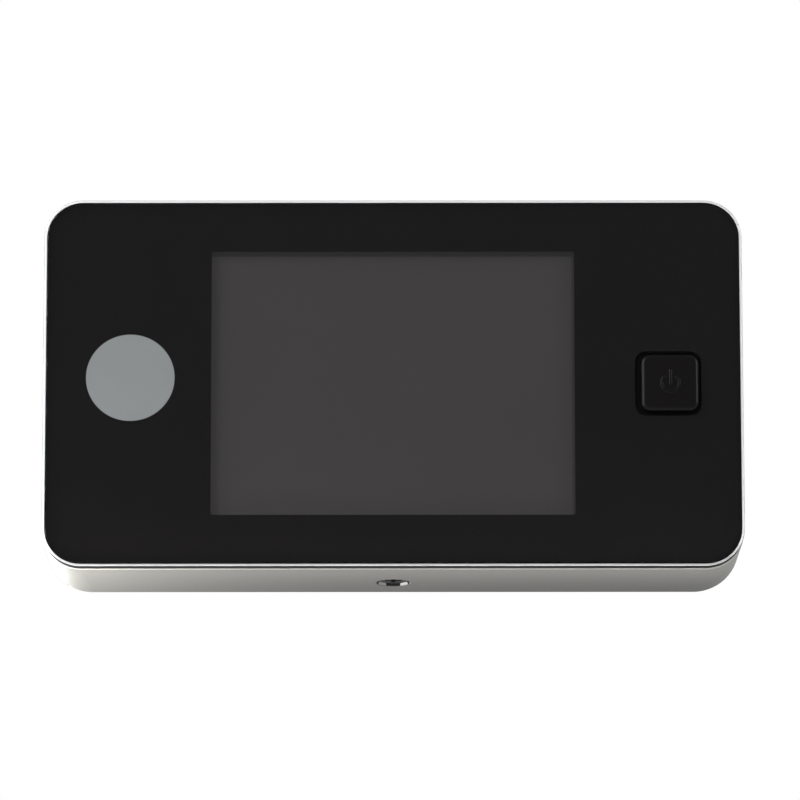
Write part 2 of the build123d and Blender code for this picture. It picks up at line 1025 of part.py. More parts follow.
# Battery cells, two in each bay, turned head to tail
shoulder_z = cell_length / 2 - nub_height
cell_places = [
    (side * bay_centre + end * cell_pitch / 2, end) for side in (-1, 1) for end in (-1, 1)
]
for number, (cell_x, upward) in enumerate(cell_places, 1):
    with BuildPart() as battery_cell:
        with BuildSketch(Plane.XZ.offset(cell_level)) as cell_side:
            with BuildLine():
                Polyline(
                    (cell_x, -upward * cell_length / 2),
                    (cell_x + cell_radius - cell_edge, -upward * cell_length / 2),
                    (cell_x + cell_radius, upward * (cell_edge - cell_length / 2)),
                    (cell_x + cell_radius, upward * (shoulder_z - cell_edge)),
                    (cell_x + cell_radius - cell_edge, upward * shoulder_z),
                    (cell_x + nub_radius, upward * shoulder_z),
                    (cell_x + nub_radius, upward * cell_length / 2),
                    (cell_x, upward * cell_length / 2),
                    close=True,
                )
            make_face()
        revolve(cell_side.sketch, Axis((cell_x, -cell_level, 0), (0, 0, 1)))
    battery_cell.part.label = f"battery_cell_{number}"
    export_step(battery_cell.part, f"parts/battery_cell_{number}.step")

# Spring contacts at the ends of the bays: a sheet on the wall, with an arch that bears on the
# cell's end. The upper one bridges both cells, the lower ones have a tail up to the board.
arch_height = contact_space - contact_sheet - contact_gap
contact_low = cell_level - contact_reach
contact_high = cell_level + contact_reach
contact_half = contact_reach + contact_margin


def contact_arch(x, end):
    """The arched spring on a contact sheet, over the cell whose axis is at x."""
    foot = bay_half_height - contact_sheet
    with BuildSketch(Plane.XZ.offset(contact_low)) as arch:
        with BuildLine():
            ThreePointArc(
                (x - contact_reach, end * foot),
                (x, end * (foot - arch_height)),
                (x + contact_reach, end * foot),
            )
            ThreePointArc(
                (x + contact_reach - contact_sheet, end * foot),
                (x, end * (foot - arch_height + contact_sheet)),
                (x - contact_reach + contact_sheet, end * foot),
            )
            Line((x - contact_reach, end * foot), (x - contact_reach + contact_sheet, end * foot))
            Line((x + contact_reach, end * foot), (x + contact_reach - contact_sheet, end * foot))
        make_face()
    extrude(arch.sketch, amount=contact_high - contact_low)


for side, sign in (("left", -1), ("right", 1)):
    sheet_z = bay_half_height - contact_sheet / 2
    cell_xs = [sign * bay_centre + end * cell_pitch / 2 for end in (-1, 1)]
    with BuildPart() as upper_contact:
        block(
            cell_pitch + 2 * contact_half,
            contact_sheet,
            contact_low,
            contact_high,
            [(sign * bay_centre, sheet_z)],
        )
        for cell_x in cell_xs:
            contact_arch(cell_x, 1)
    upper_contact.part.label = f"upper_contact_{side}"
    export_step(upper_contact.part, f"parts/upper_contact_{side}.step")

    with BuildPart() as lower_contacts:
        block(
            2 * contact_half,
            contact_sheet,
            contact_low,
            contact_high,
            [(cell_x, -sheet_z) for cell_x in cell_xs],
        )
        block(
            tail_width,
            contact_sheet,
            contact_high,
            board_back,
            [(cell_x, -sheet_z) for cell_x in cell_xs],
        )
        for cell_x in cell_xs:
            contact_arch(cell_x, -1)
    lower_contacts.part.label = f"lower_contacts_{side}"
    export_step(lower_contacts.part, f"parts/lower_contacts_{side}.step")

# Battery covers: flat doors in the rear, rounded at the foot about two small hinge pins, with
# grooves for the thumb, and a foam pad inside that keeps the cells quiet
cover_width = bay_width + 2 * (cover_ledge - cover_gap)
cover_top = recess_top - cover_gap
cover_level = (cover_back + cover_front) / 2
for side, sign in (("left", -1), ("right", 1)):
    cover_left = sign * bay_centre - cover_width / 2
    with BuildPart() as battery_cover:
        with BuildSketch(Plane.YZ.offset(cover_left)) as cover_side:
            with Locations((-cover_level, hinge_z)):
                Rectangle(
                    cover_thickness, cover_top - hinge_z, align=(Align.CENTER, Align.MIN)
                )
                Circle(cover_thickness / 2)
        extrude(cover_side.sketch, amount=cover_width)
        block(
            grip_length,
            grip_width,
            cover_back,
            cover_back + grip_depth,
            [
                (sign * bay_centre, cover_top - grip_drop - row * grip_pitch)
                for row in range(grip_count)
            ],
            Mode.SUBTRACT,
        )
        pin_end = bay_width / 2 + cover_ledge + hinge_pin_length
        with BuildSketch(Plane.YZ.offset(sign * bay_centre - pin_end)) as hinge_pin:
            with Locations((-cover_level, hinge_z)):
                Circle(hinge_pin_radius)
        extrude(hinge_pin.sketch, amount=2 * pin_end)
    battery_cover.part.label = f"battery_cover_{side}"
    export_step(battery_cover.part, f"parts/battery_cover_{side}.step")

    with BuildPart() as cover_pad:
        slab(
            bay_width - 2 * cover_pad_margin,
            cell_length - 2 * cover_pad_margin,
            cell_edge,
            cover_front,
            cover_front + cover_pad_thickness,
            sign * bay_centre,
        )
    cover_pad.part.label = f"cover_pad_{side}"
    export_step(cover_pad.part, f"parts/cover_pad_{side}.step")

# Door plate: pressed steel, with four hooks bent forward at its sides and a hole for the sleeve
plate_height = plate_top - plate_bottom
plate_z = (plate_top + plate_bottom) / 2
with BuildPart() as door_plate:
    slab(
        2 * plate_half_width,
        plate_height,
        plate_corner,
        pad_front,
        plate_front,
        z=plate_z,
    )
    post(plate_hole_radius, pad_front, plate_front, mode=Mode.SUBTRACT)
    for rib_z in (upper_rib_z, lower_rib_z):
        notch_z = rib_z - hang_clearance
        for hook_x in (-plate_half_width, plate_half_width - hook_sheet):
            with BuildSketch(Plane.YZ.offset(hook_x)) as hook:
                with BuildLine():
                    Polyline(
                        (-plate_front, notch_z - hook_bar),
                        (-hook_front, notch_z - hook_bar),
                        (-hook_front, notch_z + hook_rise),
                        (-finger_back, notch_z + hook_rise),
                        (-finger_back, notch_z),
                        (-plate_front, notch_z),
                        close=True,
                    )
                make_face()
                tips = hook.vertices().group_by(Axis.Y)[-1]
                fillet(tips, hook_round)
                toe = hook.vertices().group_by(Axis.Y)[0].sort_by(Axis.X)[0]
                fillet(toe, hook_finger - hook_round)
            extrude(hook.sketch, amount=hook_sheet)
door_plate.part.label = "door_plate"
export_step(door_plate.part, "parts/door_plate.step")

# Lock tab: a bent angle welded to the foot of the plate, with a clearance hole for the lock screw
with BuildPart() as lock_tab:
    tab_front = lock_level + tab_past_hole
    leg_front = plate_front + tab_sheet
    with BuildSketch(Plane.YZ.offset(-tab_width / 2)) as tab_side:
        with BuildLine():
            Polyline(
                (-plate_front, plate_bottom),
                (-tab_front, plate_bottom),
                (-tab_front, tab_top),
                (-leg_front, tab_top),
                (-leg_front, plate_bottom + tab_rise),
                (-plate_front, plate_bottom + tab_rise),
                close=True,
            )
        make_face()
        outer_bend = tab_side.vertices().group_by(Axis.Y)[0].sort_by(Axis.X)[-1]
        fillet(outer_bend, tab_bend + tab_sheet)
        inner_bend = tab_side.vertices().filter_by_position(
            Axis.Y, tab_top - touch_gap, tab_top + touch_gap
        )
        fillet(inner_bend.sort_by(Axis.X)[-1], tab_bend)
    extrude(tab_side.sketch, amount=tab_width)
    fillet(lock_tab.edges().filter_by(Axis.Z).group_by(Axis.Y)[0], tab_round)
    fillet(lock_tab.edges().filter_by(Axis.Y).group_by(Axis.Z)[-1], tab_round)
    with BuildSketch(Plane.XY.offset(plate_bottom)) as tab_hole:
        with Locations((0, -lock_level)):
            Circle(lock_screw_radius + tab_hole_gap)
    extrude(tab_hole.sketch, amount=tab_sheet, mode=Mode.SUBTRACT)
lock_tab.part.label = "lock_tab"
export_step(lock_tab.part, "parts/lock_tab.step")

# Foam adhesive pad between the plate and the door
with BuildPart() as door_pad:
    slab(
        2 * (plate_half_width - pad_inset),
        plate_height - 2 * pad_inset,
        plate_corner - pad_inset,
        0,
        pad_front,
        z=plate_z,
    )
    post(plate_hole_radius + pad_hole_margin, 0, pad_front, mode=Mode.SUBTRACT)
door_pad.part.label = "door_pad"
export_step(door_pad.part, "parts/door_pad.step")

# Clamp sleeve: a threaded brass tube with a notched head, turned by hand from the room to draw
# the barrel tight; the camera's lead comes through its bore
head_back = -plate_front - touch_gap
head_front = head_back - sleeve_head_height
with BuildPart() as clamp_sleeve:
    with BuildSketch(Plane.XY) as sleeve_side:
        with BuildLine():
            Polyline(
                (sleeve_bore_radius, head_front),
                (sleeve_head_radius - sleeve_head_edge, head_front),
                (sleeve_head_radius, head_front + sleeve_head_edge),
                (sleeve_head_radius, head_back),
                (sleeve_tube_radius, head_back),
                (sleeve_tube_radius, sleeve_reach),
                (sleeve_bore_radius, sleeve_reach),
                close=True,
            )
        make_face()
    revolve(sleeve_side.sketch, Axis.Y)
    with BuildSketch(Plane.XZ.offset(-head_back)) as notches:
        with PolarLocations(sleeve_head_radius, sleeve_notches):
            Circle(sleeve_notch_radius)
    extrude(notches.sketch, amount=sleeve_head_height, mode=Mode.SUBTRACT)
clamp_sleeve.part.label = "clamp_sleeve"
export_step(clamp_sleeve.part, "parts/clamp_sleeve.step")

# Camera barrel: a brass tube with a low domed flange that lies against the outside of the door
barrel_bore = sleeve_tube_radius + barrel_thread_gap
flange_front_y = barrel_outside + flange_height
shoulder_y = flange_front_y - lens_shoulder
with BuildPart() as camera_barrel:
    with BuildSketch(Plane.XY) as barrel_side:
        with BuildLine():
            Polyline(
                (barrel_bore, barrel_start),
                (barrel_radius, barrel_start),
                (barrel_radius, barrel_outside),
                (flange_radius, barrel_outside),
                (flange_radius, flange_front_y - flange_crown - flange_edge),
                (flange_radius - flange_edge, flange_front_y - flange_crown),
                (lens_mouth_radius + lens_ring_width, flange_front_y),
                (lens_mouth_radius, flange_front_y),
                (lens_mouth_radius, shoulder_y),
                (barrel_bore, shoulder_y),
                close=True,
            )
        make_face()
    revolve(barrel_side.sketch, Axis.Y)
camera_barrel.part.label = "camera_barrel"
export_step(camera_barrel.part, "parts/camera_barrel.step")

# Rubber washer under the flange
with BuildPart() as barrel_washer:
    post(washer_radius, -barrel_outside, washer_thickness - barrel_outside)
    post(
        barrel_radius + washer_gap,
        -barrel_outside,
        washer_thickness - barrel_outside,
        mode=Mode.SUBTRACT,
    )
barrel_washer.part.label = "barrel_washer"
export_step(barrel_washer.part, "parts/barrel_washer.step")

# Lens cell: fits the bore behind the flange's shoulder and carries the lens
lens_cell_radius = barrel_bore - lens_cell_gap
cell_rear_y = shoulder_y - lens_cell_length
lens_seat_y = shoulder_y - lens_thickness / 2
lens_pocket_radius = lens_radius + lens_cell_gap
with BuildPart() as lens_cell:
    with BuildSketch(Plane.XY) as lens_cell_side:
        with BuildLine():
            Polyline(
                (lens_cell_bore, cell_rear_y),
                (lens_cell_radius, cell_rear_y),
                (lens_cell_radius, shoulder_y),
                (lens_pocket_radius, shoulder_y),
                (lens_pocket_radius, lens_seat_y),
                (lens_cell_bore, lens_seat_y),
                close=True,
            )
        make_face()
    revolve(lens_cell_side.sketch, Axis.Y)
lens_cell.part.label = "lens_cell"
export_step(lens_cell.part, "parts/lens_cell.step")

# Wide-angle front lens, domed outwards
lens_top_y = lens_seat_y + lens_thickness + lens_bulge
with BuildPart() as front_lens:
    with BuildSketch(Plane.XY) as lens_side:
        with BuildLine():
            Line((0, lens_seat_y), (lens_radius, lens_seat_y))
            Line((lens_radius, lens_seat_y), (lens_radius, lens_seat_y + lens_thickness))
            RadiusArc(
                (0, lens_top_y),
                (lens_radius, lens_seat_y + lens_thickness),
                (lens_radius**2 + lens_bulge**2) / (2 * lens_bulge),
            )
            Line((0, lens_top_y), (0, lens_seat_y))
        make_face()
    revolve(lens_side.sketch, Axis.Y)
front_lens.part.label = "front_lens"
export_step(front_lens.part, "parts/front_lens.step")

# Black trim ring round the lens, on the flange
with BuildPart() as lens_ring:
    ring_inner = lens_mouth_radius + lens_ring_gap
    ring_outer = lens_mouth_radius + lens_ring_width - lens_ring_gap
    with BuildSketch(Plane.XY) as ring_side:
        with BuildLine():
            Polyline(
                (ring_inner, flange_front_y),
                (ring_outer, flange_front_y),
                (ring_outer - lens_ring_height / 2, flange_front_y + lens_ring_height),
                (ring_inner + lens_ring_gap, flange_front_y + lens_ring_height),
                close=True,
            )
        make_face()
    revolve(ring_side.sketch, Axis.Y)
lens_ring.part.label = "lens_ring"
export_step(lens_ring.part, "parts/lens_ring.step")

# Image sensor on its round board, at the rear of the lens cell
with BuildPart() as sensor_board:
    post(lens_cell_radius, -cell_rear_y, sensor_board_thickness - cell_rear_y)
sensor_board.part.label = "sensor_board"
export_step(sensor_board.part, "parts/sensor_board.step")

with BuildPart() as sensor_chip:
    block(sensor_side, sensor_side, -cell_rear_y - sensor_height, -cell_rear_y)
sensor_chip.part.label = "sensor_chip"
export_step(sensor_chip.part, "parts/sensor_chip.step")
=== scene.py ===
import math

import bpy
import numpy as np
from mathutils import Matrix, Vector


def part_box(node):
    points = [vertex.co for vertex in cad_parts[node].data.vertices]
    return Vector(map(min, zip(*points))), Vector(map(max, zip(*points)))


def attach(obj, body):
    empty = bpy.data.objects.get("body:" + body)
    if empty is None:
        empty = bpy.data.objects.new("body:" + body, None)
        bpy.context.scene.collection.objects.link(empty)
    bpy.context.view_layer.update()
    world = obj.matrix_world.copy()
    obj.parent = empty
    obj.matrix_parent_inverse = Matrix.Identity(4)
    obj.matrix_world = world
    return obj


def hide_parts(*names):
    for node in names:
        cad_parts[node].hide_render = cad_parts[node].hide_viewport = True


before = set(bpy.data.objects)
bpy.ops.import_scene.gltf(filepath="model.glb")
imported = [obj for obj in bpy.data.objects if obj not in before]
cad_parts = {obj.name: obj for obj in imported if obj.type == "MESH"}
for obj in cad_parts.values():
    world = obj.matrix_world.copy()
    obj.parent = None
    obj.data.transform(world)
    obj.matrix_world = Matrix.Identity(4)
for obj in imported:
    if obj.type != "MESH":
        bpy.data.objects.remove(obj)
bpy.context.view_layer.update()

# View: a camera with a long lens, 1.28 m from the middle of the panel's front and 13 degrees
# below it, turned and rolled by the small amounts that the panel's edges show.
mm = 0.001
scene = bpy.context.scene
photo_side = 800
focal_pixels = 7046
sensor_width = 36
view_distance = 1278 * mm
view_rise = math.radians(13.19)
view_turn = math.radians(0.11)
view_roll = math.radians(0.052)
aim_left = 1.24 * mm
aim_down = 3.30 * mm
clip_near = 10 * mm
clip_far = 20
panel_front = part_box("front_panel")[0].y

forward = Vector((
    math.cos(view_rise) * math.sin(view_turn),
    math.cos(view_rise) * math.cos(view_turn),
    math.sin(view_rise),
))
level_right = Vector((math.cos(view_turn), -math.sin(view_turn), 0))
level_up = level_right.cross(forward)
right = math.cos(view_roll) * level_right - math.sin(view_roll) * level_up
up = math.sin(view_roll) * level_right + math.cos(view_roll) * level_up
camera = bpy.data.objects.new("camera", bpy.data.cameras.new("camera"))
scene.collection.objects.link(camera)
camera.data.sensor_width = sensor_width
camera.data.lens = sensor_width * focal_pixels / photo_side
camera.data.clip_start = clip_near
camera.data.clip_end = clip_far
camera_place = Vector((0, panel_front, 0)) + aim_left * right - aim_down * up
camera_place -= view_distance * forward
camera_axes = Matrix((right, up, -forward)).transposed()
camera.matrix_world = Matrix.Translation(camera_place) @ camera_axes.to_4x4()
scene.camera = camera
scene.view_settings.view_transform = "Standard"

# Studio: a white background, dim towards the room so that the black panel stays black, and a
# pale floor well below the unit. Four soft lamps stand round the unit, and two small ones close
# to its lower side make that fade from its front to its rear and from its left corner on.


class Signal:
    """A shader socket that takes part in sums: an expression on signals adds its Math nodes."""

    def __init__(self, tree, socket):
        self.tree = tree
        self.socket = socket

    def __add__(self, other):
        return self.tree.math("ADD", self, other)

    def __sub__(self, other):
        return self.tree.math("SUBTRACT", self, other)

    def __rsub__(self, other):
        return self.tree.math("SUBTRACT", other, self)

    def __mul__(self, other):
        return self.tree.math("MULTIPLY", self, other)

    def __pow__(self, other):
        return self.tree.math("POWER", self, other)

    def __abs__(self):
        return self.tree.math("ABSOLUTE", self)

    __radd__ = __add__
    __rmul__ = __mul__

    def above(self, low, high):
        """0 at low and under it, 1 at high and over it, smooth in between."""
        return self.tree.node(
            "ShaderNodeMapRange",
            {"interpolation_type": "SMOOTHSTEP"},
            {"Value": self, "From Min": low, "From Max": high},
        )

    def out(self, name):
        """Another output of the same node."""
        return Signal(self.tree, self.socket.node.outputs[name])


class Tree:
    """The nodes of a material or of the world."""

    def __init__(self, owner):
        owner.use_nodes = True
        self.owner = owner
        self.nodes = owner.node_tree.nodes
        self.links = owner.node_tree.links
        self.nodes.clear()

    def node(self, kind, settings=None, sockets=None, output=0):
        """Adds a node, its settings first and then the values or links of its sockets."""
        made = self.nodes.new(kind)
        for name, value in (settings or {}).items():
            setattr(made, name, value)
        for name, value in (sockets or {}).items():
            self.feed(made, name, value)
        return Signal(self, made.outputs[output] if made.outputs else made.inputs[0])

    def feed(self, node, name, value):
        """Gives a node's socket a value or a link."""
        if isinstance(value, Signal):
            self.links.new(value.socket, node.inputs[name])
        else:
            node.inputs[name].default_value = value

    def math(self, operation, first, second=0.0):
        """One Math node on signals or numbers."""
        return self.node("ShaderNodeMath", {"operation": operation}, {0: first, 1: second})

    def mix(self, share, first, second):
        """The first colour where share is 0, the second where it is 1."""
        return self.node(
            "ShaderNodeMix", {"data_type": "RGBA"}, {0: share, 6: first, 7: second}, output=2
        )

    def place(self):
        """Object coordinates, in metres, in the row frame."""
        return self.node("ShaderNodeTexCoord").out("Object")

    def axes(self):
        """The three object coordinates, each a signal."""
        split = self.node("ShaderNodeSeparateXYZ", None, {0: self.place()})
        return split.out("X"), split.out("Y"), split.out("Z")

    def noise(self, grain, detail=2.0, stretch=(1, 1, 1)):
        """Soft noise about 0.5, with lumps about one grain across."""
        scaled = self.node(
            "ShaderNodeMapping", None, {"Vector": self.place(), "Scale": stretch}
        )
        return self.node(
            "ShaderNodeTexNoise", None, {"Vector": scaled, "Scale": 1 / grain, "Detail": detail}
        )

    def bump(self, height, distance, strength=1.0):
        """A normal for a relief whose height signal of 1 stands for the distance."""
        return self.node(
            "ShaderNodeBump", None, {"Height": height, "Distance": distance, "Strength": strength}
        )


class Finish(Tree):
    """A material on the Principled shader, whose steady values are set on its own sockets."""

    def __init__(self, name, steady=None):
        super().__init__(bpy.data.materials.new(name))
        self.shader = self.nodes.new("ShaderNodeBsdfPrincipled")
        self.output = self.nodes.new("ShaderNodeOutputMaterial")
        self.links.new(self.shader.outputs[0], self.output.inputs[0])
        for name, value in (steady or {}).items():
            self.shader.inputs[name].default_value = value

    def paint(self, varying):
        """Feeds the shader's sockets with signals."""
        for name, value in varying.items():
            self.feed(self.shader, name, value)

    def see_through(self, share):
        """Lets only a share of the finish be seen, with nothing in the rest."""
        clear = self.node("ShaderNodeBsdfTransparent")
        mixed = self.node("ShaderNodeMixShader", None, {0: share, 1: clear})
        self.links.new(self.shader.outputs[0], mixed.socket.node.inputs[2])
        self.links.new(mixed.socket, self.output.inputs[0])

    def cover(self, *nodes):
        """Gives this finish to CAD nodes."""
        for name in nodes:
            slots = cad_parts[name].data.materials
            slots.clear()
            slots.append(self.owner)


white = (1, 1, 1, 1)
black = (0, 0, 0, 1)
room_level = 0.20
door_level = 0.30
room_end, door_end = -0.5, 0.3
world = Tree(bpy.data.worlds.new("studio"))
scene.world = world.owner
facing = world.node("ShaderNodeSeparateXYZ", None, {0: world.node("ShaderNodeTexCoord")})
backwards = facing.out("Y").above(room_end, door_end)
rays = world.node("ShaderNodeLightPath")
mirrored = (rays.out("Is Glossy Ray") + rays.out("Is Transmission Ray")) * backwards
background_seen = world.math("MINIMUM", rays.out("Is Camera Ray") + mirrored, 1.0)
plain_level = room_level + backwards * (door_level - room_level)
sky_level = plain_level + background_seen * (1 - plain_level)
sky = world.node("ShaderNodeBackground", None, {"Color": white, "Strength": sky_level})
world.node("ShaderNodeOutputWorld", None, {"Surface": sky})

floor_drop = 700 * mm
floor_half = 12.0
floor_grey = (0.30, 0.30, 0.30, 1)
floor_glow = (0.70, 0.70, 0.70, 1)
floor_mesh = bpy.data.meshes.new("floor")
floor_signs = ((-1, -1), (1, -1), (1, 1), (-1, 1))
floor_corners = [(x * floor_half, y * floor_half, -floor_drop) for x, y in floor_signs]
floor_mesh.from_pydata(floor_corners, [], [(0, 1, 2, 3)])
floor = bpy.data.objects.new("floor", floor_mesh)
scene.collection.objects.link(floor)
floor_paint = Finish(
    "floor_paint", {"Base Color": floor_grey, "Roughness": 0.9, "Emission Strength": 1.0}
)
floor_rays = floor_paint.node("ShaderNodeLightPath")
floor_looks = floor_rays.out("Is Camera Ray") + floor_rays.out("Is Glossy Ray")
floor_looks = floor_looks + floor_rays.out("Is Transmission Ray")
floor_seen = floor_paint.math("MINIMUM", floor_looks, 1.0)
floor_paint.paint({"Emission Color": floor_paint.mix(floor_seen, black, floor_glow)})
floor_mesh.materials.append(floor_paint.owner)


def lamp(name, place, aim, size, watts, spread=180):
    """A soft lamp of (width, height) at a place, turned towards an aim, both in metres; it isn't
    seen itself. Its light opens by the spread, in degrees."""
    light = bpy.data.lights.new(name, "AREA")
    light.shape = "RECTANGLE"
    light.size, light.size_y = size
    light.energy = watts
    light.spread = math.radians(spread)
    made = bpy.data.objects.new(name, light)
    made.visible_camera = False
    scene.collection.objects.link(made)
    made.location = place
    made.rotation_euler = (Vector(aim) - Vector(place)).to_track_quat("-Z", "Y").to_euler()


unit_middle = (0, -0.012, 0)
plate_middle = (0, 0.02, 0)
lower_side = (0, -0.018, -0.034)
lower_corner = (-0.060, -0.012, -0.032)
lamp("lamp_left", (-0.42, -0.30, 0.20), unit_middle, size=(0.55, 0.55), watts=4.2)
lamp("lamp_right", (0.95, -0.50, 0.40), unit_middle, size=(0.5, 0.5), watts=6.2)
lamp("lamp_side", (-0.42, 0.95, -0.06), unit_middle, size=(0.35, 0.3), watts=2.0)
lamp("lamp_low", (0, -0.033, -0.053), lower_side, size=(0.20, 0.008), watts=0.0140, spread=60)
lamp(
    "lamp_corner", (-0.090, -0.020, -0.056), lower_corner,
    size=(0.03, 0.03), watts=0.042, spread=110,
)
lamp("lamp_behind", (0.40, 0.90, 0.55), plate_middle, size=(0.6, 0.6), watts=12.5)

# Door plate and its lock tab: zinc-plated sheet steel, pressed to shape, with four bent hooks;
# the tab is spot-welded to its foot.


def srgb(red, green, blue):
    """A colour of 8-bit display values as the linear colour that a shader takes."""
    shares = np.array([red, green, blue]) / 255
    linear = np.where(shares > 0.04045, ((shares + 0.055) / 1.055) ** 2.4, shares / 12.92)
    return (*linear.tolist(), 1)


plate_steel = Finish("plate_steel", {"Metallic": 1.0})
plating = plate_steel.noise(1.6 * mm, detail=3.0)
rolling = plate_steel.noise(0.25 * mm, stretch=(1, 1, 0.05))
plate_steel.paint({
    "Base Color": plate_steel.mix(plating, srgb(172, 174, 176), srgb(196, 197, 196)),
    "Roughness": 0.30 + rolling * 0.16,
    "Normal": plate_steel.bump(rolling, 0.01 * mm, strength=0.4),
})
plate_steel.cover("door_plate", "lock_tab")

# Foam parts: closed-cell foam, cut with a die. The pad on the door has adhesive on both sides,
# the ring round the display and the pads in the battery covers on one.
foam = Finish("foam_black", {"Roughness": 0.9})
cells = foam.noise(0.35 * mm, detail=3.0)
foam.paint({
    "Base Color": foam.mix(cells, srgb(24, 24, 25), srgb(52, 52, 54)),
    "Normal": foam.bump(cells, 0.08 * mm),
})
foam.cover("door_pad", "lcd_gasket", "cover_pad_left", "cover_pad_right")

# Clamp sleeve: a brass tube with a rolled thread outside and a notched head, nickel plated. It
# is screwed into the camera barrel and turned by its head from the room.


def surface(name, points, body, finish, wrap=True, angle=40):
    """Makes a piece of a grid of points, rows by columns, each row a closed ring.
    Rows join their neighbours; the first and last rows are closed by one flat face each,
    unless wrap joins the last row to the first. Edges sharper than the angle stay sharp."""
    rows, columns = points.shape[:2]
    row = np.arange(rows if wrap else rows - 1)[:, None]
    column = np.arange(columns)[None, :]
    next_row = (row + 1) % rows
    next_column = (column + 1) % columns
    quads = np.stack(
        [
            row * columns + column,
            row * columns + next_column,
            next_row * columns + next_column,
            next_row * columns + column,
        ],
        axis=-1,
    ).reshape(-1, 4)
    faces = quads.tolist()
    if not wrap:
        faces.append(np.arange(columns)[::-1].tolist())
        faces.append((np.arange(columns) + (rows - 1) * columns).tolist())
    mesh = bpy.data.meshes.new(name)
    mesh.from_pydata(points.reshape(-1, 3).tolist(), [], faces)
    mesh.materials.append(finish.owner)
    mesh.shade_smooth()
    mesh.set_sharp_from_angle(angle=math.radians(angle))
    made = bpy.data.objects.new(name, mesh)
    scene.collection.objects.link(made)
    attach(made, body)
    return made


def machined(name, colour, ring_pitch, roughness):
    """Plated brass with the fine rings that turning leaves: a sine of the distance from the Y
    axis plus the distance along it, one wave a ring pitch."""
    finish = Finish(name, {"Metallic": 1.0})
    x, y, z = finish.axes()
    radius = finish.math("SQRT", x * x + z * z)
    wave = finish.math("SINE", (radius + y) * (2 * math.pi / ring_pitch))
    cloud = finish.noise(3 * mm, detail=3.0)
    clouded = tuple(0.86 * share for share in colour[:3]) + (1,)
    finish.paint({
        "Base Color": finish.mix(cloud, colour, clouded),
        "Roughness": roughness + cloud * 0.10,
        "Normal": finish.bump(wave * 0.5 + 0.5, 0.004 * mm, strength=0.6),
    })
    return finish


sleeve_low, sleeve_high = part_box("clamp_sleeve")
head_radius = 11.0 * mm
head_height = 2.2 * mm
head_edge = 0.4 * mm
head_bevel = 0.3 * head_edge
rim_width = 1.1 * head_edge
notch_count = 12
notch_radius = 1.3 * mm
notch_reach = 2.2 * notch_radius
tube_radius = 5.5 * mm
bore_radius = 4.2 * mm
bore_edge = 0.2 * mm
thread_pitch = 1.0 * mm
thread_depth = 0.45 * mm
thread_relief = 1.2 * mm
thread_runout = 0.6 * mm
rows_per_turn = 10
sleeve_columns = 144
sleeve_nickel = machined("sleeve_nickel", srgb(200, 196, 186), 0.12 * mm, 0.22)


def sleeve_points():
    """Rings from the bore's outer end, back through the bore, over the head and out along the
    thread. The thread's radius is the tube's less depth times a triangle wave of
    (length / pitch - turns), so that it winds right-handed. The head's radius dips by
    sqrt(notch^2 - s^2) where the rim is within s of a notch's middle."""
    head_front = sleeve_low.y
    head_back = head_front + head_height
    thread_start = head_back + thread_relief
    thread_end = sleeve_high.y - thread_runout
    thread_rows = rows_per_turn * round((thread_end - thread_start) / thread_pitch)
    angle = np.linspace(0, 2 * math.pi, sleeve_columns, endpoint=False)[None, :]
    along = np.linspace(thread_start, thread_end, thread_rows)
    root = tube_radius - thread_depth
    before = [
        (bore_radius + bore_edge, sleeve_high.y),
        (bore_radius, sleeve_high.y - bore_edge),
        (bore_radius, head_front + bore_edge),
        (bore_radius + bore_edge, head_front),
        (head_radius - notch_reach, head_front),
        (head_radius - head_edge, head_front),
        (head_radius - head_bevel, head_front + head_bevel),
        (head_radius, head_front + head_edge),
        (head_radius, head_back - head_bevel),
        (head_radius - head_bevel, head_back),
        (head_radius - notch_reach, head_back),
        (root, head_back),
    ]
    after = [(root, sleeve_high.y)]
    outline = np.array(before + [(tube_radius, y) for y in along] + after)
    radius = np.repeat(outline[:, :1], sleeve_columns, axis=1)
    y = np.repeat(outline[:, 1:], sleeve_columns, axis=1)
    threaded = slice(len(before), len(before) + thread_rows)
    phase = (y[threaded] / thread_pitch - angle / (2 * math.pi)) % 1
    fade = np.clip((y[threaded] - thread_start) / thread_pitch, 0, 1)
    radius[threaded] = tube_radius - thread_depth * (1 - fade * (1 - np.abs(2 * phase - 1)))
    beside = (angle * notch_count / (2 * math.pi) + 0.5) % 1 - 0.5
    s = beside * 2 * math.pi / notch_count * head_radius
    dip = np.sqrt(np.clip(notch_radius**2 - s**2, 0, None))
    on_rim = (outline[:, 0] > head_radius - rim_width)[:, None]
    radius = np.where(on_rim, np.minimum(radius, head_radius - dip), radius)
    return np.stack([radius * np.sin(angle), y, radius * np.cos(angle)], axis=-1)


threaded_sleeve = surface(
    "threaded_sleeve", sleeve_points(), "clamp_sleeve", sleeve_nickel
)
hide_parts("clamp_sleeve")

# Camera barrel: turned brass with a low domed flange that lies on the outside of the door,
# satin nickel, on a rubber washer.
barrel_nickel = machined("barrel_nickel", srgb(205, 201, 192), 0.10 * mm, 0.26)
barrel_nickel.cover("camera_barrel")
washer_rubber = Finish("washer_rubber", {"Roughness": 0.75})
bloom = washer_rubber.noise(2.5 * mm, detail=3.0)
washer_rubber.paint({"Base Color": washer_rubber.mix(bloom, srgb(26, 26, 27), srgb(44, 44, 45))})
washer_rubber.cover("barrel_washer")

